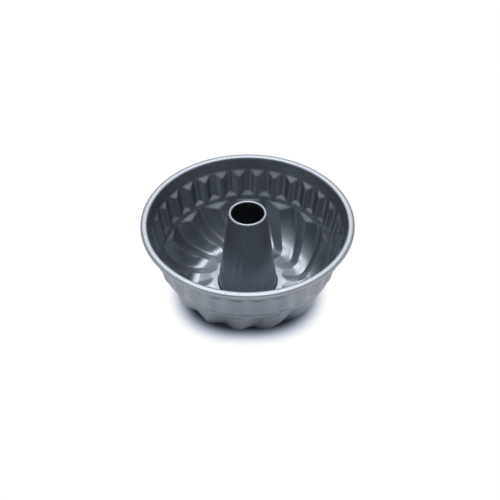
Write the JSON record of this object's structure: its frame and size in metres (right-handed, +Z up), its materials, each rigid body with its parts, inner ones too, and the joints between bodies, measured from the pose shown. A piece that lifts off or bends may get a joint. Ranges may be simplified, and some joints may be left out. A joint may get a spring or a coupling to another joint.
{
  "type": "mini fluted tube pan",
  "caption": "Round steel ring-cake mould with a fluted upper wall, a swirled ridged base, a rolled rim and a conical centre tube open at both ends.",
  "frame": {"origin": "on the table, under the middle of the pan: the valleys between the ridges touch z = 0", "axes": "+Z up along the centre tube, -Y towards the picture's camera, +X to the picture's right"},
  "size_m": [0.16, 0.16, 0.0762],
  "materials": {
    "coated_steel": "satin dark grey non-stick coating on drawn steel",
    "plain_wire": "plain drawn steel wire, hidden in the rim"
  },
  "bodies": {
    "root": {"fluted_shell": "coated_steel", "center_tube": "coated_steel", "rim_wire": "plain_wire"}
  },
  "joints": []
}
